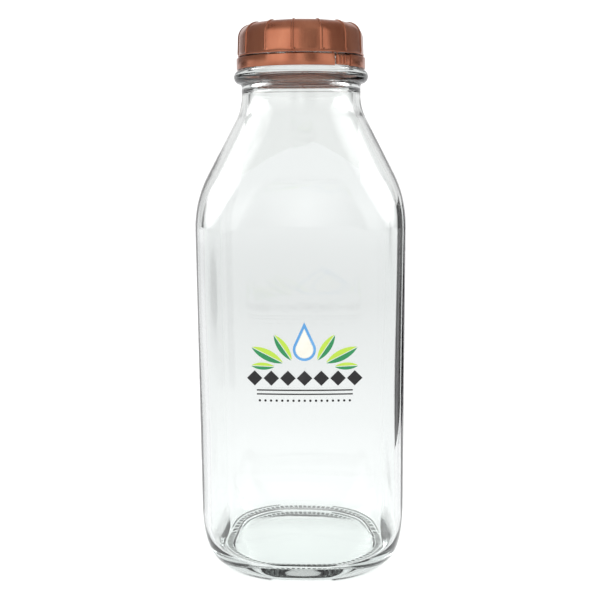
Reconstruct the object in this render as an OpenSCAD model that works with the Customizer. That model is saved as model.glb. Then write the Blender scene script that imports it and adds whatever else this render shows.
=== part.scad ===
// One-litre glass milk bottle with a screw cap, a tear-off tamper band and a fired enamel print.
// The axis of the bottle is Z, the bottle stands on z = 0 and the print is on the -Y face.

/* [Glass body] */
// Half the width of the body, from the axis to the middle of a face
body_half = 43.25; // [42:0.05:44]
// Radius of the body's upright corners
corner_r = 20.8; // [18:0.1:24]
// Radius that the four faces are bowed to, seen from above
side_r = 230; // [180:5:400]
// Thickness of the wall
wall = 3.3; // [2.8:0.1:3.8]
// How far the heel curves in at the middle of a face
heel_in = 8.5; // [7:0.1:9]
// How high the heel's curve reaches
heel_up = 28.7; // [20:0.1:31]
// How much rounder the corners get for each millimetre that the heel curves in
heel_rounding = 1.35; // [0.5:0.05:1.35]
// Width of the flat ring that the bottle stands on
bearing_w = 4.2; // [3:0.1:5]
// Height of the inner floor above the table
floor_z = 6; // [5:0.1:8]
// How far the hollow's heel curves in at the middle of a face
inner_heel_in = 6; // [5.5:0.1:9]
// How high the hollow's heel curve reaches above the floor
inner_heel_up = 16; // [15:0.5:23]
// Rise of the push-up at the middle of the base
push_up = 3.5; // [2:0.1:5]
// Radius of the push-up's corners
push_up_corner_r = 24; // [20:0.5:28]

/* [Glass shoulder and neck] */
// Height where the straight body ends
shoulder_z = 144.4; // [135:0.1:147]
// Radius of the outward curve at the foot of the shoulder
shoulder_r = 46; // [40:1:50]
// Slope of the shoulder, from the vertical
shoulder_angle = 26.8; // [24:0.1:29]
// Radius of the inward curve under the neck
throat_r = 20.5; // [16:0.5:24]
// Radius of the neck
neck_r = 24.6; // [24:0.05:25]
// Radius of the mouth
mouth_r = 19.6; // [18:0.1:20]
// Height of the glass alone
lip_z = 222.8; // [222:0.1:223.2]
// Rounding of the sealing lip
lip_round = 1.2; // [0.6:0.1:1.4]
// Height of the transfer bead's middle
bead_z = 204.65; // [204:0.05:205]
// Radius of the transfer bead's round section
bead_section_r = 2.85; // [2.4:0.05:3]
// Radius at the outside of the transfer bead
bead_r = 27.7; // [27.2:0.05:28]

/* [Screw thread] */
// Rise of the thread in one full turn
thread_lead = 12.7; // [12:0.1:14]
// Number of separate thread starts
thread_starts = 4; // [3:1:4]
// Radius of the glass under its thread
thread_root_r = 22.6; // [22.3:0.05:22.8]
// Radius at the crest of the glass thread
thread_crest_r = 23.7; // [23.5:0.05:23.8]
// Height where each thread starts
thread_z = 214.9; // [214.6:0.1:215.5]
// Turn that each glass thread covers, in degrees
glass_sweep = 100; // [80:5:110]
// Turn that each cap thread covers, in degrees
cap_sweep = 80; // [60:5:90]

/* [Cap] */
// Height of the top of the cap
cap_top_z = 225.5; // [225.3:0.1:226.5]
// Height of the cap's lower edge
cap_foot_z = 212.7; // [212.5:0.1:213]
// Radius at the cap's lower edge
cap_foot_r = 25.75; // [25.6:0.05:25.9]
// Radius of the skirt below the top rounding
cap_top_r = 25.45; // [25.2:0.05:25.6]
// Rounding of the cap's top edge
cap_round = 5.4; // [4.5:0.1:6]
// Radius inside the skirt
cap_bore_r = 24.25; // [24.1:0.05:24.4]
// Height of the underside of the top plate
cap_ceiling_z = 224; // [223.9:0.05:224.2]
// Number of grip ribs
rib_count = 14; // [10:2:20]
// Width of a grip rib
rib_w = 0.9; // [0.7:0.05:1.2]
// How far a grip rib stands out
rib_out = 0.35; // [0.25:0.05:0.5]
// Angle of the first rib from the front of the bottle
rib_phase = -5.4; // [-12:0.1:12]
// Thickness of the sealing disc
liner_t = 1.1; // [0.8:0.05:1.1]
// Radius of the sealing disc
liner_r = 21.45; // [21:0.05:21.5]

/* [Tamper band] */
// Outer radius of the band
band_r = 26.5; // [26.3:0.05:26.7]
// Inner radius of the band
band_bore_r = 25.4; // [25.3:0.05:25.5]
// Height of the band's lower edge
band_z = 207.6; // [207.55:0.05:207.8]
// Height of the band's upper edge
band_top_z = 212.1; // [211.9:0.05:212.2]
// Angle of the slit from the front, towards +X
slit_at = 33; // [20:1:60]
// Width of the slit, in degrees
slit_span = 1.7; // [1:0.1:3]
// Length of the tear tab, in degrees
tab_span = 15.6; // [12:0.1:20]
// Clearance at the tab's hinge end, in degrees
tab_gap = 0.5; // [0.4:0.1:1]
// Radius of the round at the tab's hinge end
tab_root_r = 0.46; // [0.4:0.01:0.48]

/* [Enamel print] */
// Thickness of the enamel
enamel_t = 0.12; // [0.08:0.01:0.15]
// Distance of the print's middle from the middle of the face, towards +X
print_x = 2; // [-2:0.5:2]
// Height of the print's middle
print_z = 92; // [85:1:115]
// Width of the row of seven lozenges, with the space around them
print_w = 45.5; // [40:0.5:47]

/* [Hidden] */

section_step = 5; // degrees between the points of a level section
cut_clearance = 0.5; // keeps the curved cuts off the flat sides
mouth_zone_z = 200.4; // where the turned neck finish starts inside the wall
neck_top_z = bead_z + 0.7; // the blown body ends inside the transfer bead
throat_end_x = neck_r + throat_r * (1 - cos(shoulder_angle));
arc_end_x = body_half - shoulder_r * (1 - cos(shoulder_angle));
arc_end_z = shoulder_z + shoulder_r * sin(shoulder_angle);
cone_h = (arc_end_x - throat_end_x) / tan(shoulder_angle);
neck_z = arc_end_z + cone_h + throat_r * sin(shoulder_angle);
lock_bead_r = 25.05; // radius of the glass bead that holds the tamper band
lock_bead_z = [209.8, 211.4];
lock_root_r = 23.6;
snap_ridge_r = 24.55; // inner ridge of the tamper band, under the locking bead
snap_ridge_z = [208.1, 209.4];
joint_gap = 0.05; // between faces that only rest on each other
bridge_angles = [31.6, 36.4, 88, 130, 180, 232, 276];
tab_start = slit_at + slit_span / 2;
tab_end = tab_start + tab_span;
tab_root_turn = asin(tab_root_r / (band_r - tab_root_r)); // from the hinge axis to the tab's end
thread_turn = 360 / thread_starts;
cap_round_r = cap_top_r - cap_round; // middle of the cap's top rounding
cap_round_z = cap_top_z - cap_round;
leaf_slimness = 0.3; // width of a leaf for each millimetre of its length
leaf_places = [[4.9, 2.6, 12.5, 56], [8.2, 1.6, 14, 27], [11.5, 0.2, 9.5, 2]]; // x, y, length, angle

// Middle of a corner's arc, on the diagonal, for a section of half width a and corner radius c
function corner_mid(a, c) =
    (a - side_r + sqrt(2 * pow(side_r - c, 2) - pow(side_r - a, 2))) / 2;

// Angle from the axis at which the bowed face, set in by w, meets the corner's arc
function face_end(a, s, w) =
    let (b = atan2(s, s - a + side_r))
    atan2((side_r - w) * sin(b), a - side_r + (side_r - w) * cos(b));

// Distance from the axis to the section's outline, q degrees from the middle of a face
function outline_r(a, c, w, q) =
    let (s = corner_mid(a, c))
    q < face_end(a, s, w)
        ? (a - side_r) * cos(q) + sqrt(pow(side_r - w, 2) - pow((a - side_r) * sin(q), 2))
        : s * (cos(q) + sin(q)) + sqrt(pow(c - w, 2) - pow(s * (cos(q) - sin(q)), 2));

// Distance from the axis to the section's corner, on the diagonal
function diagonal_r(a, c, w) = corner_mid(a, c) * sqrt(2) + c - w;

// Closed outline of the section with half width a and corner radius c, set in by w
function section(a, c, w) = [
    for (t = [0 : section_step : 359])
        let (q = abs((t + 45) % 90 - 45))
        let (r = outline_r(a, c, w, q))
        [r * cos(t), r * sin(t)]
];

// How far the heel and shoulder cuts stand off the straight sides, which the prism makes
function clear_of_prism(f) = cut_clearance * max(0, 1 - 12 * f);

// Stations [height, half width, corner radius, stand-off] of a heel that curves in by h and up by v
function heel(h, v, z0) = [
    for (t = [0 : 10 : 90])
        let (a = body_half - h * (1 - sin(t)))
        [z0 + v * (1 - cos(t)), a, corner_r + (body_half - a) * heel_rounding, cut_clearance * pow(sin(t), 4)]
];

// Stations of the shoulder, whose corners grow round as they rise to the neck
function shoulder_station(z, a) =
    let (f = (z - shoulder_z) / (neck_z - shoulder_z))
    [z, a, (1 - f) * corner_r + f * a, clear_of_prism(f)];

shoulder = concat(
    [for (t = [0 : shoulder_angle / 6 : shoulder_angle + 0.01])
        shoulder_station(shoulder_z + shoulder_r * sin(t), body_half - shoulder_r * (1 - cos(t)))],
    [for (f = [0.25 : 0.25 : 0.99])
        shoulder_station(arc_end_z + f * cone_h, arc_end_x - f * (arc_end_x - throat_end_x))],
    [for (t = [shoulder_angle : -shoulder_angle / 5 : -0.01])
        shoulder_station(neck_z - throat_r * sin(t), neck_r + throat_r * (1 - cos(t)))]
);

function reversed(list) = [for (i = [len(list) - 1 : -1 : 0]) list[i]];

// Outline that cuts the two faces across X, set in by w; the neck is left to the turned outline
module face_cut(stations, w, z_low) {
    last = len(stations) - 1;
    side = [
        for (st = stations)
            let (neck_part = max(0, (st[0] - shoulder_z) / (neck_z - shoulder_z) - 0.75))
            [st[1] - w + st[3] + 3 * neck_part, st[0]]
    ];
    wide = concat([[side[0][0], z_low - 1]], side, [[side[last][0], neck_top_z + 1]]);
    rotate([90, 0, 0])
        linear_extrude(height = 2 * body_half + 10, center = true)
            polygon(concat(wide, reversed([for (p = wide) [-p[0], p[1]]])));
}

// Body of the bottle, or of its hollow when w is the wall, above a floor that rises by dome_h
module body_solid(stations, w, floor_h, dome_h) {
    foot_r = diagonal_r(stations[0][1], stations[0][2], w);
    intersection() {
        translate([0, 0, floor_h - 2])
            linear_extrude(height = neck_top_z - floor_h + 3.5) polygon(section(body_half, corner_r, w));
        face_cut(stations, w, floor_h);
        rotate([0, 0, 90]) face_cut(stations, w, floor_h);
        rotate_extrude($fn = 96)
            polygon(concat(
                [for (f = [0 : 0.25 : dome_h > 0 ? 0.99 : 0.1])
                    [f * foot_r, floor_h + dome_h * (1 - f * f)]],
                [for (st = stations) [diagonal_r(st[1], st[2], w) + st[3], st[0]]],
                [[neck_r - w, neck_top_z], [0, neck_top_z]]
            ));
    }
}

// The rounded-square push-up under the base, inside the ring that the bottle stands on
module push_up_recess() {
    half = body_half - heel_in - bearing_w;
    edge_r = diagonal_r(half, push_up_corner_r, 0) + 4;
    intersection() {
        rotate_extrude($fn = 96)
            polygon(concat(
                [[0, -1], [edge_r, -1]],
                [for (f = [1 : -0.2 : 0]) [edge_r * f, push_up * (1 - f * f) + 0.4]]
            ));
        translate([0, 0, -2]) linear_extrude(height = push_up + 4) polygon(section(half, push_up_corner_r, 0));
    }
}

// The blown body, from the base to inside the transfer bead
module blown_body() {
    difference() {
        body_solid(concat(heel(heel_in, heel_up, 0), shoulder), 0, 0, 0);
        push_up_recess();
        body_solid(concat(heel(inner_heel_in, inner_heel_up, floor_z), shoulder), wall, floor_z, push_up);
    }
}

// The turned neck finish: transfer bead, locking bead, thread root and sealing lip
module neck_finish() {
    rotate_extrude($fn = 96) {
        difference() {
            union() {
                polygon([
                    [neck_r - 1.8, mouth_zone_z],
                    [neck_r - 0.6, bead_z],
                    [lock_root_r, bead_z + 2],
                    [lock_root_r, lock_bead_z[0]],
                    [lock_bead_r - 0.3, lock_bead_z[0]],
                    [lock_bead_r, lock_bead_z[0] + 0.3],
                    [lock_bead_r, lock_bead_z[0] + 0.7],
                    [thread_root_r, lock_bead_z[1]],
                    [thread_root_r, lip_z - lip_round],
                    [thread_root_r - lip_round, lip_z],
                    [mouth_r + lip_round, lip_z],
                    [mouth_r, lip_z - lip_round],
                    [mouth_r, bead_z]
                ]);
                translate([bead_r - bead_section_r, bead_z]) circle(r = bead_section_r, $fn = 64);
                translate([thread_root_r - lip_round, lip_z - lip_round]) circle(r = lip_round, $fn = 32);
                translate([mouth_r + lip_round, lip_z - lip_round]) circle(r = lip_round, $fn = 32);
            }
            translate([0, bead_z - bead_section_r - 1]) square([mouth_r, 30]);
        }
    }
}

// One thread ridge that climbs at the lead, fading in and out at its ends
module thread_ridge(root_r, crest_r, root_w, crest_w, sweep) {
    steps = round(sweep / 5);
    points = [
        for (i = [0 : steps])
            let (f = i / steps)
            let (fade = min(1, 0.15 + f * 6, 0.15 + (1 - f) * 6))
            let (r = root_r + (crest_r - root_r) * fade)
            let (z = thread_lead * sweep * f / 360)
            each [for (p = [[root_r, -root_w / 2], [r, -crest_w / 2], [r, crest_w / 2], [root_r, root_w / 2]])
                [p[0] * cos(sweep * f), p[0] * sin(sweep * f), z + p[1]]]
    ];
    sides = [for (i = [0 : steps - 1]) for (j = [0 : 3])
        [i * 4 + j, i * 4 + (j + 1) % 4, i * 4 + 4 + (j + 1) % 4, i * 4 + 4 + j]];
    turned = crest_r > root_r ? sides : [for (f = sides) reversed(f)];
    first = crest_r > root_r ? [3, 2, 1, 0] : [0, 1, 2, 3];
    last = [for (k = reversed(first)) steps * 4 + k];
    polyhedron(points = points, faces = concat(turned, [first, last]), convexity = 4);
}

module thread(root_r, crest_r, root_w, crest_w, sweep, phase) {
    for (k = [0 : thread_starts - 1])
        translate([0, 0, thread_z])
            rotate([0, 0, k * thread_turn + phase])
                thread_ridge(root_r, crest_r, root_w, crest_w, sweep);
}

module glass_bottle() {
    color([0.82, 0.88, 0.85, 0.5])
        union() {
            blown_body();
            neck_finish();
            thread(thread_root_r - 0.4, thread_crest_r, 1.9, 0.9, glass_sweep, 0);
        }
}

// Outside of the cap in the plane of the axis, grown by d
module cap_outline(d) {
    polygon([[0, cap_foot_z], [cap_foot_r + d, cap_foot_z], [cap_top_r + d, cap_round_z],
        [cap_round_r, cap_top_z + d], [0, cap_top_z + d]]);
    translate([cap_round_r, cap_round_z]) circle(r = cap_round + d, $fn = 96);
}

// Hollow of the cap in the plane of the axis: a straight bore under a ceiling with a round edge
module cap_hollow() {
    rise = cap_ceiling_z - cap_round_z;
    translate([0, cap_foot_z - 1]) square([cap_bore_r, cap_round_z - cap_foot_z + 1]);
    translate([0, cap_round_z - 1]) square([cap_round_r, rise + 1]);
    intersection() {
        translate([cap_round_r, cap_round_z]) circle(r = cap_bore_r - cap_round_r, $fn = 96);
        translate([cap_round_r - 1, cap_round_z - 1]) square([cap_round, rise + 1]);
    }
}

module grip_rib() {
    rotate([90, 0, 0])
        linear_extrude(height = rib_w, center = true)
            intersection() {
                difference() {
                    cap_outline(rib_out);
                    cap_outline(-0.4);
                }
                translate([cap_round_r + 0.4, cap_foot_z]) square([cap_round + 3, 20]);
            }
}

module cap_shell() {
    color([0.66, 0.36, 0.26])
        union() {
            rotate_extrude($fn = 96)
                difference() {
                    union() {
                        cap_outline(0);
                        translate([cap_foot_r - 1, cap_foot_z]) square([1.25, 0.8]);
                    }
                    translate([-30, cap_foot_z - 1]) square([30, 20]);
                    cap_hollow();
                    translate([0, cap_top_z - 0.4]) square([cap_round_r - 1.6, 1]);
                }
            for (k = [0 : rib_count - 1])
                rotate([0, 0, rib_phase - 90 + k * 360 / rib_count]) grip_rib();
            thread(cap_bore_r + 0.3, thread_root_r + 0.55, 1.6, 0.7, cap_sweep, thread_turn / 2);
        }
}

module cap_liner() {
    color([0.53, 0.37, 0.3])
        translate([0, 0, lip_z + joint_gap]) cylinder(h = liner_t, r = liner_r, $fn = 96);
}

module tamper_band() {
    color([0.62, 0.33, 0.24])
        rotate([0, 0, tab_end + tab_gap - 90])
            rotate_extrude(angle = 360 - tab_span - tab_gap - slit_span, $fn = 96)
                polygon([
                    [band_bore_r, band_z + 0.2],
                    [band_r - 0.2, band_z],
                    [band_r, band_z + 0.2],
                    [band_r, band_top_z - 0.25],
                    [band_r - 0.25, band_top_z],
                    [band_bore_r, band_top_z],
                    [band_bore_r, snap_ridge_z[1]],
                    [snap_ridge_r, snap_ridge_z[1] - 0.1],
                    [snap_ridge_r, snap_ridge_z[0] + 0.5],
                    [band_bore_r, snap_ridge_z[0]]
                ]);
}

module tear_tab() {
    tab_low = band_z + 0.3;
    tab_h = band_top_z - band_z - 0.6;
    color([0.58, 0.3, 0.22]) {
        rotate([0, 0, tab_start - 90])
            rotate_extrude(angle = tab_span - tab_root_turn, $fn = 96)
                translate([band_bore_r + 0.1, tab_low]) square([band_r - band_bore_r - 0.1, tab_h]);
        rotate([0, 0, tab_end - tab_root_turn - 90])
            translate([band_r - tab_root_r - 0.04, 0, tab_low]) cylinder(h = tab_h, r = tab_root_r, $fn = 32);
        for (f = [0.12, 0.36, 0.6])
            rotate([0, 0, tab_start + f * tab_span - 90])
                translate([band_r, 0, tab_low + 0.5]) cylinder(h = tab_h - 1, r = 0.45, $fn = 24);
    }
}

module band_bridges() {
    color([0.66, 0.36, 0.26])
        for (a = bridge_angles)
            rotate([0, 0, a - 90])
                translate([cap_foot_r - 1, -0.45, band_top_z + joint_gap])
                    cube([0.8, 0.9, cap_foot_z - band_top_z - joint_gap]);
}

// A flat drawing, in x across and y up from the print's middle, laid on the bowed front face
module enamel() {
    front_mid_y = side_r - body_half;
    intersection() {
        translate([print_x, -body_half + 3, print_z])
            rotate([90, 0, 0]) linear_extrude(height = 6) children();
        translate([0, front_mid_y, print_z - 30])
            difference() {
                cylinder(h = 60, r = side_r + enamel_t, $fn = 128);
                translate([0, 0, -1]) cylinder(h = 62, r = side_r + 0.005, $fn = 128);
            }
    }
}

// A pointed leaf from the origin to the right, made of two crossing arcs
module leaf(length, width) {
    r = (length * length + width * width) / (4 * width);
    translate([length / 2, 0])
        intersection() {
            translate([0, r - width / 2]) circle(r = r, $fn = 64);
            translate([0, width / 2 - r]) circle(r = r, $fn = 64);
        }
}

// Half of a leaf, on the upper side of its midrib
module half_leaf(length) {
    intersection() {
        leaf(length, length * leaf_slimness);
        translate([0, 0.15]) square([length, length]);
    }
}

// A drop of radius r, with its point 2.4 radii above its middle
module drop(r) {
    side = asin(1 / 2.4);
    polygon(concat([[0, 2.4 * r]], [for (t = [180 - side : 7.5 : 360 + side]) [r * cos(t), r * sin(t)]]));
}

// The row of bold lozenges, the two fine rules and the dotted line under the drop
module enamel_black() {
    color([0.05, 0.05, 0.05])
        enamel() {
            for (k = [-3 : 3])
                translate([k * print_w / 7, -4.4]) rotate(45) square(4.3, center = true);
            for (y = [-9.2, -10.8])
                translate([0, y]) square([print_w - 8, 0.55], center = true);
            for (k = [-8 : 8])
                translate([k * 2.2, -13.4]) circle(r = 0.48, $fn = 24);
        }
}

// The lower half of each leaf on both sides of the drop
module enamel_green() {
    color([0.1, 0.45, 0.25])
        enamel()
            for (side = [0, 1])
                mirror([side, 0])
                    for (p = leaf_places)
                        translate([p[0], p[1]]) rotate(p[3]) mirror([0, 1]) half_leaf(p[2]);
}

// The upper half of each leaf
module enamel_lime() {
    color([0.66, 0.78, 0.2])
        enamel()
            for (side = [0, 1])
                mirror([side, 0])
                    for (p = leaf_places)
                        translate([p[0], p[1]]) rotate(p[3]) half_leaf(p[2]);
}

module enamel_blue() {
    color([0.45, 0.7, 0.88])
        enamel()
            translate([0, 7])
                difference() {
                    drop(4.5);
                    drop(3.5);
                }
}

module enamel_cream() {
    color([0.95, 0.93, 0.85])
        enamel() translate([0, 7]) drop(3.2);
}

glass_bottle();
cap_shell();
cap_liner();
tamper_band();
tear_tab();
band_bridges();
enamel_black();
enamel_green();
enamel_lime();
enamel_blue();
enamel_cream();
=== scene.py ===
import math

import bpy
from mathutils import Matrix, Vector


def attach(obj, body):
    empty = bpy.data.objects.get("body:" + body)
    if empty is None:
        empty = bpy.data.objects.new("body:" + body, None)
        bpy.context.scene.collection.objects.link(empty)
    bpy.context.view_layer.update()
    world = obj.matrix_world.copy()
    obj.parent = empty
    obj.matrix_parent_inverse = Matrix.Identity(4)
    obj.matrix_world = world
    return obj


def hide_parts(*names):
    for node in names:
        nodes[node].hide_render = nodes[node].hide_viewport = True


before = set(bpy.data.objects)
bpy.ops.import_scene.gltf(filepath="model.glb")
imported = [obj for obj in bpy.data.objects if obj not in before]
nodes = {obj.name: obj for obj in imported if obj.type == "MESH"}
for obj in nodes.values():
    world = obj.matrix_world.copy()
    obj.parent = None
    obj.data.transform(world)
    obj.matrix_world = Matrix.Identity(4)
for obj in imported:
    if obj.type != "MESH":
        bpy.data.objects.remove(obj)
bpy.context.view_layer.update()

# ---------------------------------------------------------------------------
# The glass bottle. One press-and-blow moulding in clear soda-lime glass: a rounded-square body,
# a shoulder that turns round on its way to the neck, and a finish with a transfer bead, a
# locking bead for the tamper band and a four-start thread. Sizes are in millimetres.
# ---------------------------------------------------------------------------
BODY_HALF = 43.25  # from the axis to the middle of a face
CORNER_R = 20.8
SIDE_R = 230.0  # the faces are bowed to this radius
WALL = 3.3
HEEL_IN, HEEL_UP, HEEL_ROUNDING = 8.5, 28.7, 1.35
BEARING_W, RECESS_CORNER_R, PUSH_UP = 4.2, 24.0, 3.5
FLOOR_Z, INNER_HEEL_IN, INNER_HEEL_UP = 6.0, 6.0, 16.0
SHOULDER_Z, SHOULDER_R, SHOULDER_ANGLE = 144.4, 46.0, math.radians(26.8)
THROAT_R, NECK_R, MOUTH_R = 20.5, 24.6, 19.6
LIP_Z, LIP_ROUND = 222.8, 1.2
BEAD_Z, BEAD_SECTION_R, BEAD_R = 204.65, 2.85, 27.7
LOCK_ROOT_R, LOCK_BEAD_R, LOCK_Z = 23.6, 25.05, (209.8, 211.4)
THREAD_ROOT_R, THREAD_CREST_R = 22.6, 23.7
THREAD_LEAD, THREAD_Z, THREAD_STARTS = 12.7, 214.9, 4
GLASS_SWEEP, CAP_SWEEP = 100.0, 80.0
AROUND = 256  # points round the bottle
KNURL_FINENESS, KNURL_PITCH = 3, 8  # times as many points round the base ring, and points to a tooth
KNURL_DEEP = 0.45

arc_end_x = BODY_HALF - SHOULDER_R * (1 - math.cos(SHOULDER_ANGLE))
arc_end_z = SHOULDER_Z + SHOULDER_R * math.sin(SHOULDER_ANGLE)
throat_end_x = NECK_R + THROAT_R * (1 - math.cos(SHOULDER_ANGLE))
cone_h = (arc_end_x - throat_end_x) / math.tan(SHOULDER_ANGLE)
neck_z = arc_end_z + cone_h + THROAT_R * math.sin(SHOULDER_ANGLE)


def outline_r(half, corner, inset, turn):
    """Distance from the axis to a rounded square with bowed faces, seen along an angle."""
    q = abs((turn + math.pi / 4) % (math.pi / 2) - math.pi / 4)
    back = half - SIDE_R
    mid = (back + math.sqrt(2 * (SIDE_R - corner) ** 2 - back**2)) / 2
    lean = math.atan2(mid, mid - back)
    face_end = math.atan2((SIDE_R - inset) * math.sin(lean), back + (SIDE_R - inset) * math.cos(lean))
    if q < face_end:
        return back * math.cos(q) + math.sqrt((SIDE_R - inset) ** 2 - (back * math.sin(q)) ** 2)
    across = mid * (math.cos(q) - math.sin(q))
    return mid * (math.cos(q) + math.sin(q)) + math.sqrt((corner - inset) ** 2 - across**2)


def section(z, half, corner, inset=0.0, scale=1.0, count=AROUND, uneven=0.0, knurl=0.0):
    """One level ring of points. uneven varies the inset, as in blown glass, and knurl lifts teeth."""
    ring = []
    for i in range(count):
        turn = 2 * math.pi * i / count
        drift = math.sin(2 * turn + z / 31) + 0.6 * math.sin(3 * turn - z / 17 + 1.1)
        r = scale * outline_r(half, corner, inset + uneven * drift, turn)
        lift = knurl if 0 < i % KNURL_PITCH <= KNURL_PITCH // 2 else 0.0
        ring.append((r * math.cos(turn), r * math.sin(turn), z + lift))
    return ring


def heel(curve_in, curve_up, base_z, step):
    """Height, half width and corner radius up the rounded heel."""
    for t in range(0, 91, step):
        half = BODY_HALF - curve_in * (1 - math.sin(math.radians(t)))
        z = base_z + curve_up * (1 - math.cos(math.radians(t)))
        yield z, half, CORNER_R + (BODY_HALF - half) * HEEL_ROUNDING


def shoulder():
    """Height, half width and corner radius from the straight body to the neck."""
    outline = []
    for k in range(25):
        t = SHOULDER_ANGLE * k / 24
        outline.append((SHOULDER_Z + SHOULDER_R * math.sin(t), BODY_HALF - SHOULDER_R * (1 - math.cos(t))))
    for k in range(1, 12):
        f = k / 12
        outline.append((arc_end_z + f * cone_h, arc_end_x + f * (throat_end_x - arc_end_x)))
    for k in range(17):
        t = SHOULDER_ANGLE * (1 - k / 16)
        outline.append((neck_z - THROAT_R * math.sin(t), NECK_R + THROAT_R * (1 - math.cos(t))))
    for z, half in outline:
        f = (z - SHOULDER_Z) / (neck_z - SHOULDER_Z)
        yield z, half, (1 - f) * CORNER_R + f * half


def thread_height(turn, z, phase, sweep, root_w, crest_w):
    """From 0 on the root to 1 on the crest of a multi-start thread."""
    best = 0.0
    for start in range(THREAD_STARTS):
        along = math.degrees(turn) - phase - start * 360 / THREAD_STARTS
        along %= 360
        if along > sweep:
            continue
        off = abs(z - THREAD_Z - THREAD_LEAD * along / 360)
        flank = (root_w / 2 - off) / (root_w / 2 - crest_w / 2)
        fade = min(1.0, along / 9, (sweep - along) / 9)
        best = max(best, min(1.0, max(0.0, flank)) * fade)
    return best * best * (3 - 2 * best)


def arc(centre_r, centre_z, radius, start, end, steps):
    """Points of a round stretch of a turned outline, between two angles in degrees."""
    for k in range(steps + 1):
        t = math.radians(start + (end - start) * k / steps)
        yield centre_r + radius * math.cos(t), centre_z + radius * math.sin(t)


def skin(name, rings, material, smooth_angle=40):
    """A closed mesh over rings of points, one point or many, in millimetres."""
    points, faces, starts = [], [], []
    for ring in rings:
        starts.append(len(points))
        points += [(x / 1000, y / 1000, z / 1000) for x, y, z in ring]
    for (low, up), (a, b) in zip(zip(rings, rings[1:]), zip(starts, starts[1:])):
        m, n = len(low), len(up)
        for j in range(max(m, n)) if min(m, n) == 1 else range(min(m, n)):
            if m == 1:
                faces.append((a, b + (j + 1) % n, b + j))
            elif n == 1:
                faces.append((a + j, a + (j + 1) % m, b))
            elif m == n:
                faces.append((a + j, a + (j + 1) % m, b + (j + 1) % n, b + j))
            elif n > m:
                k = n // m
                fine = [b + (k * j + i) % n for i in range(k + 1)]
                faces.append((a + j, a + (j + 1) % m, fine[2], fine[1]))
                faces.append((a + j, fine[1], fine[0]))
                faces.append((a + (j + 1) % m, fine[3], fine[2]))
            else:
                k = m // n
                fine = [a + (k * j + i) % m for i in range(k + 1)]
                faces.append((fine[1], fine[2], b + (j + 1) % n, b + j))
                faces.append((fine[0], fine[1], b + j))
                faces.append((fine[2], fine[3], b + (j + 1) % n))
    mesh = bpy.data.meshes.new(name)
    mesh.from_pydata(points, [], faces)
    mesh.shade_smooth()
    mesh.set_sharp_from_angle(angle=math.radians(smooth_angle))
    mesh.materials.append(material)
    piece = bpy.data.objects.new(name, mesh)
    bpy.context.scene.collection.objects.link(piece)
    return piece


def place_node(tree, kind, x, y, **values):
    """A shader node at a place in the editor, with its plain values set."""
    node = tree.nodes.new(kind)
    node.location = (x, y)
    for socket, value in values.items():
        node.inputs[socket.replace("_", " ")].default_value = value
    return node


def new_material(name):
    """A node material with its Principled surface and its own coordinates."""
    material = bpy.data.materials.new(name)
    material.use_nodes = True
    tree = material.node_tree
    surface = tree.nodes["Principled BSDF"]
    coordinates = place_node(tree, "ShaderNodeTexCoord", -1100, 0)
    return material, tree, surface, coordinates.outputs["Object"]


clear_glass, tree, surface, here = new_material("clear_soda_lime_glass")
surface.inputs["Base Color"].default_value = (0.985, 1.0, 0.992, 1)
surface.inputs["IOR"].default_value = 1.52
surface.inputs["Transmission Weight"].default_value = 1.0
film = place_node(tree, "ShaderNodeTexNoise", -800, -100, Scale=38.0, Detail=4.0, Roughness=0.6)
film_range = place_node(tree, "ShaderNodeMapRange", -560, -100, To_Min=0.0, To_Max=0.035)
ripple = place_node(tree, "ShaderNodeTexNoise", -800, -400, Scale=26.0, Detail=1.0)
ripple_bump = place_node(tree, "ShaderNodeBump", -320, -400, Strength=0.12, Distance=0.0006)
lets_light = place_node(tree, "ShaderNodeBsdfTransparent", 300, -200)
lets_light.inputs["Color"].default_value = (0.95, 0.96, 0.955, 1)
path = place_node(tree, "ShaderNodeLightPath", 60, 420)
either = place_node(tree, "ShaderNodeMath", 300, 320)
either.operation = "MAXIMUM"
join = place_node(tree, "ShaderNodeMixShader", 560, 60)
tint = place_node(tree, "ShaderNodeVolumeAbsorption", 300, -420, Density=11.0)
tint.inputs["Color"].default_value = (0.62, 0.68, 0.665, 1)
link = tree.links.new
link(here, film.inputs["Vector"])
link(here, ripple.inputs["Vector"])
link(film.outputs["Fac"], film_range.inputs["Value"])
link(film_range.outputs["Result"], surface.inputs["Roughness"])
link(ripple.outputs["Fac"], ripple_bump.inputs["Height"])
link(ripple_bump.outputs["Normal"], surface.inputs["Normal"])
link(path.outputs["Is Shadow Ray"], either.inputs[0])
link(path.outputs["Is Diffuse Ray"], either.inputs[1])
link(either.outputs["Value"], join.inputs["Fac"])
link(surface.outputs["BSDF"], join.inputs[1])
link(lets_light.outputs["BSDF"], join.inputs[2])
out = tree.nodes["Material Output"]
out.location = (800, 60)
link(join.outputs["Shader"], out.inputs["Surface"])
link(tint.outputs["Volume"], out.inputs["Volume"])

# A rough coat for the knurl's grooves. Its near-black colour is painted shade, standing in for the contact
# shadow in the grooves.
knurl_shade_glass, tree, surface, here = new_material("knurl_painted_shade")
surface.inputs["Transmission Weight"].default_value = 0.1
surface.inputs["IOR"].default_value = 1.52
surface.inputs["Roughness"].default_value = 0.5
groove_noise = place_node(tree, "ShaderNodeTexNoise", -800, 200, Scale=420.0, Detail=4.0)
painted_groove_shade = place_node(tree, "ShaderNodeValToRGB", -520, 200)
painted_groove_shade.color_ramp.elements[0].position = 0.35
painted_groove_shade.color_ramp.elements[0].color = (0.01, 0.013, 0.012, 1)
painted_groove_shade.color_ramp.elements[1].position = 0.7
painted_groove_shade.color_ramp.elements[1].color = (0.08, 0.095, 0.09, 1)
tree.links.new(here, groove_noise.inputs["Vector"])
tree.links.new(groove_noise.outputs["Fac"], painted_groove_shade.inputs["Fac"])
tree.links.new(painted_groove_shade.outputs["Color"], surface.inputs["Base Color"])

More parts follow.
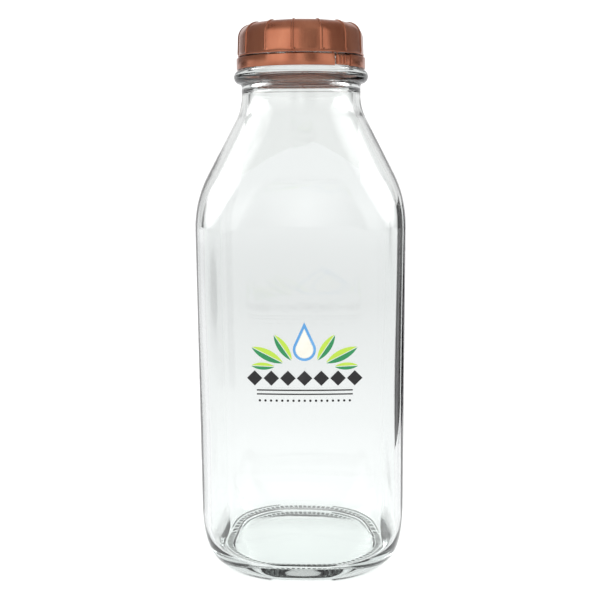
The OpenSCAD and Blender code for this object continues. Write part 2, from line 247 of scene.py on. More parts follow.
foot_half = BODY_HALF - HEEL_IN
foot_corner = CORNER_R + HEEL_IN * HEEL_ROUNDING
ring_half, ring_corner = foot_half - BEARING_W, RECESS_CORNER_R
fine = AROUND * KNURL_FINENESS
glass = [[(0, 0, PUSH_UP)]]
for f in (0.2, 0.4, 0.6, 0.75, 0.88, 0.96):
    glass.append(section(PUSH_UP * (1 - f * f) * 0.85 + 0.5, ring_half, ring_corner, scale=f))
glass.append(section(0.35, ring_half, ring_corner, inset=0.3))
glass.append(section(0.06, ring_half, ring_corner, inset=0.0))
for f, groove in ((0.06, 0.0), (0.12, KNURL_DEEP), (0.5, KNURL_DEEP), (0.88, KNURL_DEEP), (0.94, 0.0)):
    half = ring_half + f * (foot_half - ring_half)
    corner = ring_corner + f * (foot_corner - ring_corner)
    glass.append(section(0.0, half, corner, count=fine, knurl=groove))
for z, half, corner in heel(HEEL_IN, HEEL_UP, 0.0, 5):
    glass.append(section(z, half, corner))
for k in range(1, 12):
    glass.append(section(HEEL_UP + (SHOULDER_Z - HEEL_UP) * k / 12, BODY_HALF, CORNER_R))
for z, half, corner in shoulder():
    glass.append(section(z, half, corner))
bead_centre_r = BEAD_R - BEAD_SECTION_R
finish = [(NECK_R, BEAD_Z - BEAD_SECTION_R - 0.6)]
finish += list(arc(bead_centre_r, BEAD_Z, BEAD_SECTION_R, -86, 110, 22))
finish += [(LOCK_ROOT_R, BEAD_Z + 3.1), (LOCK_ROOT_R, LOCK_Z[0] - 0.2)]
finish += list(arc(LOCK_BEAD_R - 0.55, (LOCK_Z[0] + LOCK_Z[1]) / 2 - 0.15, 0.55, -80, 75, 8))
finish += [(THREAD_ROOT_R, LOCK_Z[1] + 0.1)]
for r, z in finish:
    glass.append(section(z, r, r))
for k in range(1, 50):
    z = LOCK_Z[1] + 0.1 + (LIP_Z - LIP_ROUND - LOCK_Z[1] - 0.1) * k / 50
    glass.append([])
    for i in range(AROUND):
        turn = 2 * math.pi * i / AROUND
        crest = thread_height(turn, z, 0, GLASS_SWEEP, 1.9, 0.9)
        r = THREAD_ROOT_R + (THREAD_CREST_R - THREAD_ROOT_R) * crest
        glass[-1].append((r * math.cos(turn), r * math.sin(turn), z))
lip = list(arc(THREAD_ROOT_R - LIP_ROUND, LIP_Z - LIP_ROUND, LIP_ROUND, 0, 90, 6))
lip += list(arc(MOUTH_R + LIP_ROUND, LIP_Z - LIP_ROUND, LIP_ROUND, 90, 180, 6))
lip += [(MOUTH_R, 214.0), (MOUTH_R, 206.5), (MOUTH_R + 0.15, 204.6), (MOUTH_R + 0.8, 202.4)]
for r, z in lip:
    glass.append(section(z, r, r))
glass.append(section(199.6, NECK_R, NECK_R, inset=WALL))
for z, half, corner in reversed(list(shoulder())):
    fade = min(1.0, (neck_z - z) / 20)
    glass.append(section(z, half, corner, inset=WALL, uneven=0.16 * fade))
for k in range(1, 15):
    z = SHOULDER_Z + (FLOOR_Z + INNER_HEEL_UP - SHOULDER_Z) * k / 15
    glass.append(section(z, BODY_HALF, CORNER_R, inset=WALL, uneven=0.16))
inner_heel = list(heel(INNER_HEEL_IN, INNER_HEEL_UP, FLOOR_Z, 6))
for z, half, corner in reversed(inner_heel):
    glass.append(section(z, half, corner, inset=WALL, uneven=0.16))
z, half, corner = inner_heel[0]
for f in (0.95, 0.85, 0.7, 0.5, 0.25):
    glass.append(section(FLOOR_Z + PUSH_UP * (1 - f * f) * 0.8, half, corner, inset=WALL, scale=f))
glass.append([(0, 0, FLOOR_Z + PUSH_UP * 0.8)])
bottle = skin("glass_bottle_body", glass, clear_glass, 50)
bottle.data.materials.append(knurl_shade_glass)
for face in bottle.data.polygons:  # the roofs and flanks of the knurl's grooves take the rough, dark coat, whose dark colour is painted shade
    outward = Vector((face.center.x, face.center.y, 0)).normalized()
    if 0.1 < face.center.z * 1000 < 0.5 and abs(face.normal.dot(outward)) < 0.3:
        face.material_index = 1
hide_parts("glass_bottle")
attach(bottle, "bottle")

# ---------------------------------------------------------------------------
# The screw cap. Injection-moulded polyethylene with a copper metallic pigment: fourteen thin
# half-round grip ribs climb from the foot bead over the rounded top edge, and the panels
# between them are slightly flat. The thread inside matches the glass.
# ---------------------------------------------------------------------------
CAP_TOP_Z, CAP_FOOT_Z, CAP_FOOT_R, CAP_TOP_R, CAP_ROUND = 225.5, 212.7, 25.75, 25.45, 5.4
CAP_BORE_R, CAP_CEILING_Z = 24.25, 224.0
RIB_COUNT, RIB_W, RIB_OUT, RIB_PHASE = 14, 0.95, 0.335, math.radians(-5.4 - 90)
PANEL_FLAT = 0.22  # how far a panel's middle lies inside the round

grain = bpy.data.node_groups.new("moulding_grain", "ShaderNodeTree")
for socket, kind, default in (("Scale", "NodeSocketFloat", 900.0), ("Streak", "NodeSocketFloat", 1.0)):
    grain.interface.new_socket(socket, in_out="INPUT", socket_type=kind).default_value = default
grain.interface.new_socket("Height", in_out="OUTPUT", socket_type="NodeSocketFloat")
grain.interface.new_socket("Mottle", in_out="OUTPUT", socket_type="NodeSocketFloat")
group_in = place_node(grain, "NodeGroupInput", -900, 0)
group_out = place_node(grain, "NodeGroupOutput", 500, 0)
position = place_node(grain, "ShaderNodeTexCoord", -900, 240)
stretch = place_node(grain, "ShaderNodeVectorMath", -640, 240)
stretch.operation = "MULTIPLY"
along = place_node(grain, "ShaderNodeCombineXYZ", -640, 60, X=1.0, Y=1.0)
fine_noise = place_node(grain, "ShaderNodeTexNoise", -360, 240, Detail=3.0, Roughness=0.6)
wide_noise = place_node(grain, "ShaderNodeTexNoise", -360, -60, Scale=130.0, Detail=4.0, Roughness=0.55)
grain.links.new(group_in.outputs["Streak"], along.inputs["Z"])
grain.links.new(position.outputs["Object"], stretch.inputs[0])
grain.links.new(along.outputs["Vector"], stretch.inputs[1])
grain.links.new(stretch.outputs["Vector"], fine_noise.inputs["Vector"])
grain.links.new(stretch.outputs["Vector"], wide_noise.inputs["Vector"])
grain.links.new(group_in.outputs["Scale"], fine_noise.inputs["Scale"])
grain.links.new(fine_noise.outputs["Fac"], group_out.inputs["Height"])
grain.links.new(wide_noise.outputs["Fac"], group_out.inputs["Mottle"])


def add_grain(tree, scale, streak):
    """The shared moulding grain, placed in a material with its own values."""
    node = tree.nodes.new("ShaderNodeGroup")
    node.node_tree = grain
    node.location = (-820, -160)
    node.inputs["Scale"].default_value = scale
    node.inputs["Streak"].default_value = streak
    return node


copper, tree, surface, here = new_material("copper_pigmented_plastic")
surface.inputs["Metallic"].default_value = 0.94
surface.inputs["Coat Weight"].default_value = 0.2
surface.inputs["Coat Roughness"].default_value = 0.08
surface.inputs["IOR"].default_value = 1.5
pigment = add_grain(tree, 2600.0, 0.35)
shade = place_node(tree, "ShaderNodeValToRGB", -520, 160)
shade.color_ramp.elements[0].position = 0.32
shade.color_ramp.elements[0].color = (0.36, 0.115, 0.06, 1)
shade.color_ramp.elements[1].position = 0.72
shade.color_ramp.elements[1].color = (0.50, 0.19, 0.105, 1)
gloss = place_node(tree, "ShaderNodeMapRange", -520, -120, To_Min=0.15, To_Max=0.26)
flake = place_node(tree, "ShaderNodeBump", -280, -360, Strength=0.16, Distance=0.00012)
link = tree.links.new
link(pigment.outputs["Mottle"], shade.inputs["Fac"])
link(shade.outputs["Color"], surface.inputs["Base Color"])
link(pigment.outputs["Mottle"], gloss.inputs["Value"])
link(gloss.outputs["Result"], surface.inputs["Roughness"])
link(pigment.outputs["Height"], flake.inputs["Height"])
link(flake.outputs["Normal"], surface.inputs["Normal"])

rib_turn = 2 * math.pi / RIB_COUNT
rib_half_turn = RIB_W / 2 / CAP_TOP_R
cap_turns = []
for k in range(RIB_COUNT):
    for s in range(-5, 6):
        cap_turns.append(RIB_PHASE + k * rib_turn + rib_half_turn * 1.15 * s / 5)
    panel = rib_turn - 2.3 * rib_half_turn
    for s in range(1, 10):
        cap_turns.append(RIB_PHASE + k * rib_turn + 1.15 * rib_half_turn + panel * s / 10)


def cap_relief(turn, rib, panel):
    """How far the cap's surface stands off the plain turned shape at this angle."""
    off = abs((turn - RIB_PHASE + rib_turn / 2) % rib_turn - rib_turn / 2)
    across = min(1.0, off / rib_half_turn)
    ridge = rib * math.sqrt(max(0.0, 1 - across * across))
    middle = (1 + math.cos(2 * math.pi * off / rib_turn)) / 2
    return ridge - panel * (1 - middle)


def cap_ring(r, z, slope, rib, panel):
    """A ring of the cap at radius r, whose relief stands out along a slope from level."""
    ring = []
    for turn in cap_turns:
        relief = cap_relief(turn, rib, panel)
        out_r = r + relief * math.cos(slope)
        ring.append((out_r * math.cos(turn), out_r * math.sin(turn), z + relief * math.sin(slope)))
    return ring


round_r, round_z = CAP_TOP_R - CAP_ROUND, CAP_TOP_Z - CAP_ROUND
inner_round = CAP_BORE_R - round_r
ceiling_end = math.degrees(math.asin((CAP_CEILING_Z - round_z) / inner_round))
cap = [[(0, 0, CAP_CEILING_Z)], cap_ring(round_r * 0.5, CAP_CEILING_Z, 0, 0, 0)]
for r, z in arc(round_r, round_z, inner_round, ceiling_end, 4, 7):
    cap.append(cap_ring(r, z, 0, 0, 0))
for k in range(37):
    z = round_z - (round_z - CAP_FOOT_Z - 0.3) * k / 36
    cap.append([])
    for turn in cap_turns:
        crest = thread_height(turn, z, 360 / THREAD_STARTS / 2, CAP_SWEEP, 1.6, 0.7)
        r = CAP_BORE_R - (CAP_BORE_R - THREAD_ROOT_R - 0.55) * crest
        cap[-1].append((r * math.cos(turn), r * math.sin(turn), z))
cap.append(cap_ring(CAP_BORE_R + 0.3, CAP_FOOT_Z, 0, 0, 0))
for r, z in arc(CAP_FOOT_R - 0.15, CAP_FOOT_Z + 0.4, 0.4, -90, 60, 8):
    cap.append(cap_ring(r, z, 0, 0, 0))
cap.append(cap_ring(CAP_FOOT_R - 0.04, CAP_FOOT_Z + 1.0, 0, RIB_OUT, PANEL_FLAT * 0.2))
for k in range(1, 9):
    f = k / 8
    z = CAP_FOOT_Z + 1.0 + (round_z - CAP_FOOT_Z - 1.0) * f
    cap.append(cap_ring(CAP_FOOT_R + (CAP_TOP_R - CAP_FOOT_R) * f, z, 0, RIB_OUT, PANEL_FLAT))
for k in range(1, 19):
    t = math.radians(5 * k)
    fade = 1 - (k / 18) ** 3
    r, z = round_r + CAP_ROUND * math.cos(t), round_z + CAP_ROUND * math.sin(t)
    cap.append(cap_ring(r, z, t, RIB_OUT, PANEL_FLAT * fade))
for f, rib in ((0.985, 0.30), (0.97, 0.18), (0.955, 0.0), (0.93, 0.0)):
    cap.append(cap_ring(round_r * f, CAP_TOP_Z, math.pi / 2, rib, 0))
for r, z in ((0.915, 0.12), (0.90, 0.32), (0.885, 0.4), (0.6, 0.4), (0.3, 0.4)):
    cap.append(cap_ring(round_r * r, CAP_TOP_Z - z, 0, 0, 0))
cap.append([(0, 0, CAP_TOP_Z - 0.4)])
cap_piece = skin("screw_cap", cap, copper, 38)
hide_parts("cap_shell")
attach(cap_piece, "cap")

# ---------------------------------------------------------------------------
# The sealing disc. Die-cut from foamed polyethylene sheet and pressed up under the cap's
# ceiling, with a shallow groove where the glass lip has sat.
# ---------------------------------------------------------------------------
LINER_R, LINER_T = 21.45, 1.1

foam, tree, surface, here = new_material("foamed_polyethylene")
surface.inputs["Subsurface Weight"].default_value = 0.15
surface.inputs["Subsurface Radius"].default_value = (0.002, 0.002, 0.002)
cells = place_node(tree, "ShaderNodeTexVoronoi", -820, 200, Scale=1800.0)
tone = place_node(tree, "ShaderNodeValToRGB", -520, 200)
tone.color_ramp.elements[0].color = (0.20, 0.09, 0.06, 1)
tone.color_ramp.elements[1].color = (0.30, 0.14, 0.095, 1)
softness = place_node(tree, "ShaderNodeMapRange", -520, -80, To_Min=0.55, To_Max=0.75)
dimples = place_node(tree, "ShaderNodeBump", -280, -300, Strength=0.35, Distance=0.0001)
foam_grain = add_grain(tree, 1400.0, 1.0)
link = tree.links.new
link(here, cells.inputs["Vector"])
link(cells.outputs["Distance"], tone.inputs["Fac"])
link(tone.outputs["Color"], surface.inputs["Base Color"])
link(foam_grain.outputs["Mottle"], softness.inputs["Value"])
link(softness.outputs["Result"], surface.inputs["Roughness"])
link(cells.outputs["Distance"], dimples.inputs["Height"])
link(dimples.outputs["Normal"], surface.inputs["Normal"])

liner_low = LIP_Z + 0.05
disc = [[(0, 0, liner_low)]]
groove = [(8.0, 0.0), (17.6, 0.0), (19.4, 0.0), (20.0, 0.02), (20.5, 0.07), (20.9, 0.08), (21.1, 0.06)]
for r, lift in groove:
    disc.append(section(liner_low + lift, r, r, count=128))
for r, z in arc(LINER_R - 0.2, liner_low + 0.2, 0.2, -90, 0, 4):
    disc.append(section(z, r, r, count=128))
for r, z in arc(LINER_R - 0.2, liner_low + LINER_T - 0.2, 0.2, 0, 90, 4):
    disc.append(section(z, r, r, count=128))
disc.append([(0, 0, liner_low + LINER_T)])
liner = skin("sealing_disc", disc, foam, 40)
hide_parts("cap_liner")
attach(liner, "liner")

# ---------------------------------------------------------------------------
# The tamper band. Moulded in one with the cap and left on the neck when the bridges break:
# an open ring with a slit at the front, held under the glass locking bead by an inner ridge.
# ---------------------------------------------------------------------------
BAND_R, BAND_BORE_R, BAND_Z, BAND_TOP_Z = 26.5, 25.4, 207.6, 212.1
SNAP_R, SNAP_Z = 24.55, (208.1, 209.4)
SLIT_AT, SLIT_SPAN, TAB_SPAN, TAB_GAP = 33.0, 1.7, 15.6, 0.5


def strip(name, turns, outline_at, material):
    """A closed skin through one outline of (radius, height) at each turn round the axis."""
    points, faces = [], []
    for turn in turns:
        outline = outline_at(turn)
        for r, z in outline:
            points.append((r * math.cos(turn) / 1000, r * math.sin(turn) / 1000, z / 1000))
    n = len(outline)
    for i in range(len(turns) - 1):
        for j in range(n):
            k = (j + 1) % n
            faces.append((i * n + j, (i + 1) * n + j, (i + 1) * n + k, i * n + k))
    faces.append(tuple(range(n)))
    faces.append(tuple((len(turns) - 1) * n + j for j in reversed(range(n))))
    mesh = bpy.data.meshes.new(name)
    mesh.from_pydata(points, [], faces)
    mesh.shade_smooth()
    mesh.set_sharp_from_angle(angle=math.radians(38))
    mesh.materials.append(material)
    piece = bpy.data.objects.new(name, mesh)
    bpy.context.scene.collection.objects.link(piece)
    return piece


def band_outline(turn):
    """Section of the band, whose corners close in over the last 0.1 mm at the slit."""
    from_end = min(turn - band_turns[0], band_turns[-1] - turn) * BAND_R
    shy = 0.09 * max(0.0, 1 - from_end / 0.1) ** 2
    outer, low, high = BAND_R - shy, BAND_Z + shy, BAND_TOP_Z - shy
    section = [(BAND_BORE_R + shy, low + 0.25), (BAND_BORE_R + 0.3, low + 0.02)]
    section += list(arc(outer - 0.22, low + 0.22, 0.22, -90, 0, 4))
    section += list(arc(outer - 0.3, high - 0.3, 0.3, 0, 90, 5))
    section += [(BAND_BORE_R + 0.1 + shy, high), (BAND_BORE_R + shy, high - 0.1)]
    section += [(BAND_BORE_R + shy, SNAP_Z[1] + 0.05), (SNAP_R + 0.15, SNAP_Z[1])]
    section += [(SNAP_R, SNAP_Z[1] - 0.15), (SNAP_R, SNAP_Z[0] + 0.55)]
    return section + [(BAND_BORE_R + shy, SNAP_Z[0])]


tab_start = math.radians(SLIT_AT + SLIT_SPAN / 2 - 90)
tab_end = tab_start + math.radians(TAB_SPAN)
band_first = tab_end + math.radians(TAB_GAP)
band_last = tab_start - math.radians(SLIT_SPAN) + 2 * math.pi
close = [0.0, 0.00008, 0.0002, 0.0004]  # turns near an end, where the corners close in
band_turns = [band_first + c * 10 for c in close]
band_turns += [band_first + 0.01 + (band_last - band_first - 0.02) * k / 260 for k in range(261)]
band_turns += [band_last - c * 10 for c in reversed(close)]
band = strip("tamper_band_ring", band_turns, band_outline, copper)
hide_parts("tamper_band")
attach(band, "band")

# ---------------------------------------------------------------------------
# The tear tab. The stretch of band beside the slit, thinner than the ring and with three
# raised grips, which a finger pulls outwards from its free end. Its fixed end has a round root.
# ---------------------------------------------------------------------------
TAB_ROOT_R = 0.46
GRIPS = (0.12, 0.36, 0.6)  # places along the tab
GRIP_HALF, GRIP_OUT = 0.07, 0.42

tab_low, tab_high = BAND_Z + 0.3, BAND_TOP_Z - 0.3
tab_middle_r, tab_half = BAND_R - TAB_ROOT_R - 0.04, 0.5
root_turn = TAB_ROOT_R / tab_middle_r


def tab_outline(turn):
    """Section of the tab: half rounds at both ends, and grips that swell its outer face."""
    past_root = max(0.0, (turn - (tab_end - root_turn)) / root_turn)
    half = min(tab_half, tab_half * math.sqrt(max(0.002, 1 - past_root**2)))
    near_free_end = max(0.0, 1 - (turn - tab_start) * BAND_R / 0.25)
    half -= 0.2 * near_free_end**2
    along = (turn - tab_start) / (tab_end - tab_start)
    rise = max(1 - ((along - place) / GRIP_HALF) ** 2 for place in GRIPS)
    corner = min(0.2, half)
    section = list(arc(tab_middle_r - half + corner, tab_low + corner, corner, 180, 270, 3))
    section += list(arc(tab_middle_r + half - corner, tab_low + corner, corner, 270, 360, 3))
    for k in range(1, 14):
        z = tab_low + corner + (tab_high - tab_low - 2 * corner) * k / 14
        end = min(1.0, (z - tab_low - 0.2) / 0.7, (tab_high - 0.2 - z) / 0.7)
        swell = GRIP_OUT * math.sqrt(max(0.0, rise)) * math.sqrt(max(0.0, end * (2 - end)))
        section.append((tab_middle_r + half + swell, z))
    section += list(arc(tab_middle_r + half - corner, tab_high - corner, corner, 0, 90, 3))
    return section + list(arc(tab_middle_r - half + corner, tab_high - corner, corner, 90, 180, 3))


tab_turns = [tab_start + (tab_end - root_turn - tab_start) * k / 150 for k in range(151)]
tab_turns += [tab_end - root_turn + root_turn * math.sin(math.radians(10 * k)) for k in range(1, 10)]
tab = strip("tear_tab_strip", tab_turns, tab_outline, copper)
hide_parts("tear_tab")
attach(tab, "tab")

# ---------------------------------------------------------------------------
# The frangible bridges. Small webs of the same plastic between the cap's foot and the band,
# which snap at the band when the cap is first turned. Each is waisted where it breaks.
# ---------------------------------------------------------------------------
BRIDGE_ANGLES = (31.6, 36.4, 88, 130, 180, 232, 276)
BRIDGE_SHAPE = ((0.0, 0.30), (0.25, 0.26), (0.55, 0.36), (1.0, 0.45))

bridge_low = BAND_TOP_Z + 0.05
bridge_r = CAP_FOOT_R - 0.6
points, faces = [], []
for angle in BRIDGE_ANGLES:
    turn = math.radians(angle - 90)
    outward = Vector((math.cos(turn), math.sin(turn), 0))
    sideways = Vector((-math.sin(turn), math.cos(turn), 0))
    first = len(points)
    for level, half in BRIDGE_SHAPE:
        z = bridge_low + (CAP_FOOT_Z - bridge_low) * level
        for i in range(12):
            t = 2 * math.pi * i / 12
            point = outward * (bridge_r + 0.85 * half * math.cos(t)) + sideways * half * math.sin(t)
            points.append((point.x / 1000, point.y / 1000, z / 1000))
    for level in range(len(BRIDGE_SHAPE) - 1):
        for i in range(12):
            a, b = first + level * 12 + i, first + level * 12 + (i + 1) % 12
            faces.append((a, b, b + 12, a + 12))
    faces.append(tuple(first + i for i in reversed(range(12))))
    faces.append(tuple(first + (len(BRIDGE_SHAPE) - 1) * 12 + i for i in range(12)))
mesh = bpy.data.meshes.new("frangible_bridges")
mesh.from_pydata(points, [], faces)
mesh.shade_smooth()
mesh.set_sharp_from_angle(angle=math.radians(50))
mesh.materials.append(copper)
bridges = bpy.data.objects.new("frangible_bridges", mesh)
bpy.context.scene.collection.objects.link(bridges)
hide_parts("band_bridges")
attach(bridges, "cap")

# ---------------------------------------------------------------------------
# The enamel print. Five screen-printed coats of ceramic ink fired onto the front face: a milk
# drop between leaves, over a row of lozenges, two rules and a line of dots.
# ---------------------------------------------------------------------------


def enamel(name, colour, thin_colour):
    """A fired enamel coat, a little thinner and paler in patches, with a fine orange peel."""
    material, tree, surface, here = new_material(name)
    coat = add_grain(tree, 1500.0, 1.0)
    shade = place_node(tree, "ShaderNodeValToRGB", -520, 160)
    shade.color_ramp.elements[0].position = 0.30
    shade.color_ramp.elements[0].color = (*thin_colour, 1)
    shade.color_ramp.elements[1].position = 0.46
    shade.color_ramp.elements[1].color = (*colour, 1)
    gloss = place_node(tree, "ShaderNodeMapRange", -520, -120, To_Min=0.22, To_Max=0.42)
    peel = place_node(tree, "ShaderNodeBump", -280, -360, Strength=0.2, Distance=0.00005)
    tree.links.new(coat.outputs["Mottle"], shade.inputs["Fac"])
    tree.links.new(shade.outputs["Color"], surface.inputs["Base Color"])
    tree.links.new(coat.outputs["Mottle"], gloss.inputs["Value"])
    tree.links.new(gloss.outputs["Result"], surface.inputs["Roughness"])
    tree.links.new(coat.outputs["Height"], peel.inputs["Height"])
    tree.links.new(peel.outputs["Normal"], surface.inputs["Normal"])
    return material


COATS = {
    "enamel_black": ((0.008, 0.008, 0.009), (0.02, 0.02, 0.021)),
    "enamel_green": ((0.02, 0.25, 0.085), (0.03, 0.30, 0.11)),
    "enamel_lime": ((0.47, 0.68, 0.06), (0.52, 0.72, 0.10)),
    "enamel_blue": ((0.10, 0.33, 0.66), (0.14, 0.38, 0.70)),
    "enamel_cream": ((0.88, 0.86, 0.76), (0.82, 0.80, 0.70)),
}
for coat, (colour, thin_colour) in COATS.items():
    printed = nodes[coat]
    printed.data.materials.clear()
    printed.data.materials.append(enamel(coat + "_coat", colour, thin_colour))

# ---------------------------------------------------------------------------
# The table, the light and the camera. A pale seamless table with a painted pool of light and shade round
# the bottle, seen only in the glass and in the cap, a pale room and two soft lights.
# A dark card on the right draws the edge of the glass, and two grey flags shade the cap's sides:
# the camera doesn't see them. The glass and the cap see a room with dark and bright bearings.
# ---------------------------------------------------------------------------
TABLE_HALF, PAINTED_POOL_REACH = 30.0, 2.5  # metres

floor_material, tree, surface, here = new_material("pale_table")
surface.inputs["Roughness"].default_value = 0.9
surface.inputs["Specular IOR Level"].default_value = 0.0
paper = place_node(tree, "ShaderNodeTexNoise", -820, 300, Scale=60.0, Detail=5.0)
pale = place_node(tree, "ShaderNodeValToRGB", -520, 300)
pale.color_ramp.elements[0].color = (0.92, 0.92, 0.92, 1)
pale.color_ramp.elements[1].color = (0.95, 0.95, 0.95, 1)
away = place_node(tree, "ShaderNodeVectorMath", -820, 0)
away.operation = "LENGTH"
reach_share = place_node(tree, "ShaderNodeMapRange", -660, 0, From_Max=PAINTED_POOL_REACH)
behind = place_node(tree, "ShaderNodeValToRGB", -520, 0)
PAINTED_LIGHT_POOL = (  # painted light and shade round the bottle, seen in the glass and the cap: share of the reach from the bottle, and brightness
    (0.0, 0.97), (0.035, 0.80), (0.08, 0.725), (0.15, 0.665), (0.27, 0.64), (0.48, 0.70),
    (0.75, 0.77), (1.0, 0.80),
)
stops = behind.color_ramp.elements
for place, level in PAINTED_LIGHT_POOL:
    if 0 < place < 1:
        stop = stops.new(place)
    else:
        stop = stops[0] if place == 0 else stops[-1]
    stop.color = (level, level, level * 1.01, 1)
# Camera and diffuse rays see the plain pale table; all other rays, through the glass and in reflections,
# see the painted pool of light and shade.
seen = place_node(tree, "ShaderNodeLightPath", -820, 560)
direct = place_node(tree, "ShaderNodeMath", -520, 560)
direct.operation = "MAXIMUM"
top_colour = place_node(tree, "ShaderNodeMix", -200, 200)
top_colour.data_type = "RGBA"
tree.links.new(here, paper.inputs["Vector"])
tree.links.new(paper.outputs["Fac"], pale.inputs["Fac"])
tree.links.new(here, away.inputs[0])
tree.links.new(away.outputs["Value"], reach_share.inputs["Value"])
tree.links.new(reach_share.outputs["Result"], behind.inputs["Fac"])
tree.links.new(seen.outputs["Is Camera Ray"], direct.inputs[0])
tree.links.new(seen.outputs["Is Diffuse Ray"], direct.inputs[1])
tree.links.new(direct.outputs["Value"], top_colour.inputs["Factor"])
tree.links.new(behind.outputs["Color"], top_colour.inputs["A"])
tree.links.new(pale.outputs["Color"], top_colour.inputs["B"])
tree.links.new(top_colour.outputs["Result"], surface.inputs["Base Color"])
floor_mesh = bpy.data.meshes.new("table_top")
floor_corners = [(x * TABLE_HALF, y * TABLE_HALF, 0) for x, y in ((-1, -1), (1, -1), (1, 1), (-1, 1))]
floor_mesh.from_pydata(floor_corners, [], [(0, 1, 2, 3)])
floor_mesh.materials.append(floor_material)
table_top = bpy.data.objects.new("table_top", floor_mesh)
table_top.location.z = -0.00005
bpy.context.scene.collection.objects.link(table_top)

world = bpy.data.worlds.new("studio")
bpy.context.scene.world = world
world.use_nodes = True
world.cycles.sampling_method = "NONE"
sky = world.node_tree
background = sky.nodes["Background"]
direction = place_node(sky, "ShaderNodeTexCoord", -1500, 0)
split_up = place_node(sky, "ShaderNodeSeparateXYZ", -1300, 0)
bearing = place_node(sky, "ShaderNodeMath", -1100, 100)
bearing.operation = "ARCTAN2"
share = place_node(sky, "ShaderNodeMapRange", -900, 100, From_Min=-math.pi, From_Max=math.pi)
round_the_room = place_node(sky, "ShaderNodeValToRGB", -700, 100)
ROOM = (  # bearing from behind the bottle, towards +X, and brightness
    (-180, 1.5), (-168, 0.6), (-156, 1.6), (-122, 1.4), (-110, 0.86), (-74, 0.86), (-68, 0.12),
    (-52, 0.12), (-44, 0.85), (0, 0.88), (44, 0.85), (50, 0.12), (72, 0.12), (80, 0.8), (100, 0.8),
    (120, 1.2), (142, 1.2), (154, 0.3), (168, 0.4), (180, 1.5),
)
stops = round_the_room.color_ramp.elements
stops[0].position, stops[1].position = 0.0, 1.0
for bearing_deg, level in ROOM:
    place = (bearing_deg + 180) / 360
    if 0 < place < 1:
        stop = stops.new(place)
    else:
        stop = stops[0] if place == 0 else stops[-1]
    stop.color = (level, level, level, 1)
overhead = place_node(sky, "ShaderNodeValToRGB", -700, -200)
overhead.color_ramp.elements[0].position = 0.35
overhead.color_ramp.elements[0].color = (0, 0, 0, 1)
overhead.color_ramp.elements[1].position = 0.75
overhead.color_ramp.elements[1].color = (1, 1, 1, 1)
above = place_node(sky, "ShaderNodeMix", -380, 0)
above.data_type = "RGBA"
above.inputs["B"].default_value = (0.6, 0.6, 0.6, 1)
ray = place_node(sky, "ShaderNodeLightPath", -700, 460)
plain = place_node(sky, "ShaderNodeMath", -500, 460)
plain.operation = "MAXIMUM"
white = place_node(sky, "ShaderNodeMix", -160, 120)
white.data_type = "RGBA"
white.inputs["B"].default_value = (1.18, 1.18, 1.18, 1)
sky.links.new(direction.outputs["Generated"], split_up.inputs["Vector"])
sky.links.new(split_up.outputs["X"], bearing.inputs[0])
sky.links.new(split_up.outputs["Y"], bearing.inputs[1])
sky.links.new(bearing.outputs["Value"], share.inputs["Value"])
sky.links.new(share.outputs["Result"], round_the_room.inputs["Fac"])
sky.links.new(split_up.outputs["Z"], overhead.inputs["Fac"])
sky.links.new(overhead.outputs["Color"], above.inputs["Factor"])
sky.links.new(round_the_room.outputs["Color"], above.inputs["A"])
sky.links.new(ray.outputs["Is Camera Ray"], plain.inputs[0])
sky.links.new(ray.outputs["Is Diffuse Ray"], plain.inputs[1])
sky.links.new(plain.outputs["Value"], white.inputs["Factor"])
sky.links.new(white.outputs["Result"], background.inputs["Color"])
background.inputs["Strength"].default_value = 1.0
lit = above.outputs["Result"]
for side, glow in ((-1, 4.5), (1, 4.0)):  # a soft glow high on each side, which whitens the shoulders
    towards = place_node(sky, "ShaderNodeVectorMath", -1100, -400 + 150 * side)
    towards.operation = "DOT_PRODUCT"
    towards.inputs[1].default_value = Vector((0.80 * side, 0.12, 0.50)).normalized()
    soft = place_node(sky, "ShaderNodeMapRange", -900, -400 + 150 * side, From_Min=0.86, From_Max=0.985)
    soft.interpolation_type = "SMOOTHSTEP"
    soft.inputs["To Max"].default_value = glow
    total = place_node(sky, "ShaderNodeMix", -160, -240 + 150 * side)
    total.data_type, total.blend_type = "RGBA", "ADD"
    total.inputs["Factor"].default_value = 1.0
    sky.links.new(direction.outputs["Generated"], towards.inputs[0])
    sky.links.new(towards.outputs["Value"], soft.inputs["Value"])
    sky.links.new(lit, total.inputs["A"])
    sky.links.new(soft.outputs["Result"], total.inputs["B"])
    lit = total.outputs["Result"]
sky.links.new(lit, white.inputs["A"])


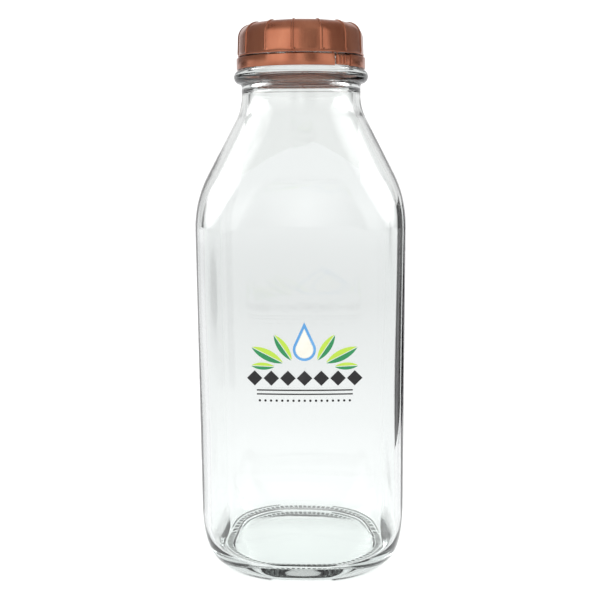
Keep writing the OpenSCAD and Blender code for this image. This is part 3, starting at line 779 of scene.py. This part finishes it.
def soft_light(name, place, aim, size, power, colour=(1, 1, 1)):
    """A large rectangular soft light that faces a point."""
    lamp = bpy.data.lights.new(name, "AREA")
    lamp.shape, lamp.size, lamp.size_y, lamp.energy, lamp.color = "RECTANGLE", *size, power, colour
    holder = bpy.data.objects.new(name, lamp)
    holder.location = place
    holder.rotation_euler = (Vector(aim) - Vector(place)).to_track_quat("-Z", "Y").to_euler()
    bpy.context.scene.collection.objects.link(holder)
    return holder


soft_light("left_softbox", (-0.72, 0.08, 0.58), (0, 0, 0.17), (0.75, 0.36), 1.6)
soft_light("right_softbox", (0.76, 0.08, 0.58), (0, 0, 0.17), (0.65, 0.34), 1.2)


def studio_card(name, place, width, height, turn, tone):
    """An upright matt card, seen only in the glass and in the cap."""
    material, tree, surface, here = new_material(name)
    surface.inputs["Base Color"].default_value = (tone, tone, tone, 1)
    surface.inputs["Roughness"].default_value = 0.9
    mesh = bpy.data.meshes.new(name)
    corners = [(-width / 2, 0, 0), (width / 2, 0, 0), (width / 2, 0, height), (-width / 2, 0, height)]
    mesh.from_pydata(corners, [], [(0, 1, 2, 3)])
    mesh.materials.append(material)
    card = bpy.data.objects.new(name, mesh)
    card.location = place
    card.rotation_euler.z = turn
    card.visible_camera = card.visible_diffuse = card.visible_shadow = False
    bpy.context.scene.collection.objects.link(card)
    return card


studio_card("dark_card", (0.13, 0.085, 0.02), 0.11, 0.15, math.radians(-88), 0.02)
for name, x in (("left_cap_flag", -0.062), ("right_cap_flag", 0.062)):
    flag = studio_card(name, (x, 0, 0.214), 0.1, 0.12, math.pi / 2, 0.3)
    flag.visible_shadow = True
    flag.visible_transmission = False

CAMERA_AT = (0.0136, -0.3990, 0.1768)
CAMERA_TILT, CAMERA_PAN, CAMERA_ROLL = 0.168, -0.037, -0.008
camera_data = bpy.data.cameras.new("camera")
camera_data.sensor_width = 36.0
camera_data.lens = 56.43
camera_data.shift_y = 0.0088
camera_data.clip_start = 0.01
camera = bpy.data.objects.new("camera", camera_data)
turn = Matrix.Rotation(-CAMERA_PAN, 4, "Z")
tilt = Matrix.Rotation(math.pi / 2 - CAMERA_TILT, 4, "X")
roll = Matrix.Rotation(CAMERA_ROLL, 4, "Z")
camera.matrix_world = Matrix.Translation(CAMERA_AT) @ turn @ tilt @ roll
bpy.context.scene.collection.objects.link(camera)
bpy.context.scene.camera = camera
bpy.context.scene.view_settings.view_transform = "Standard"
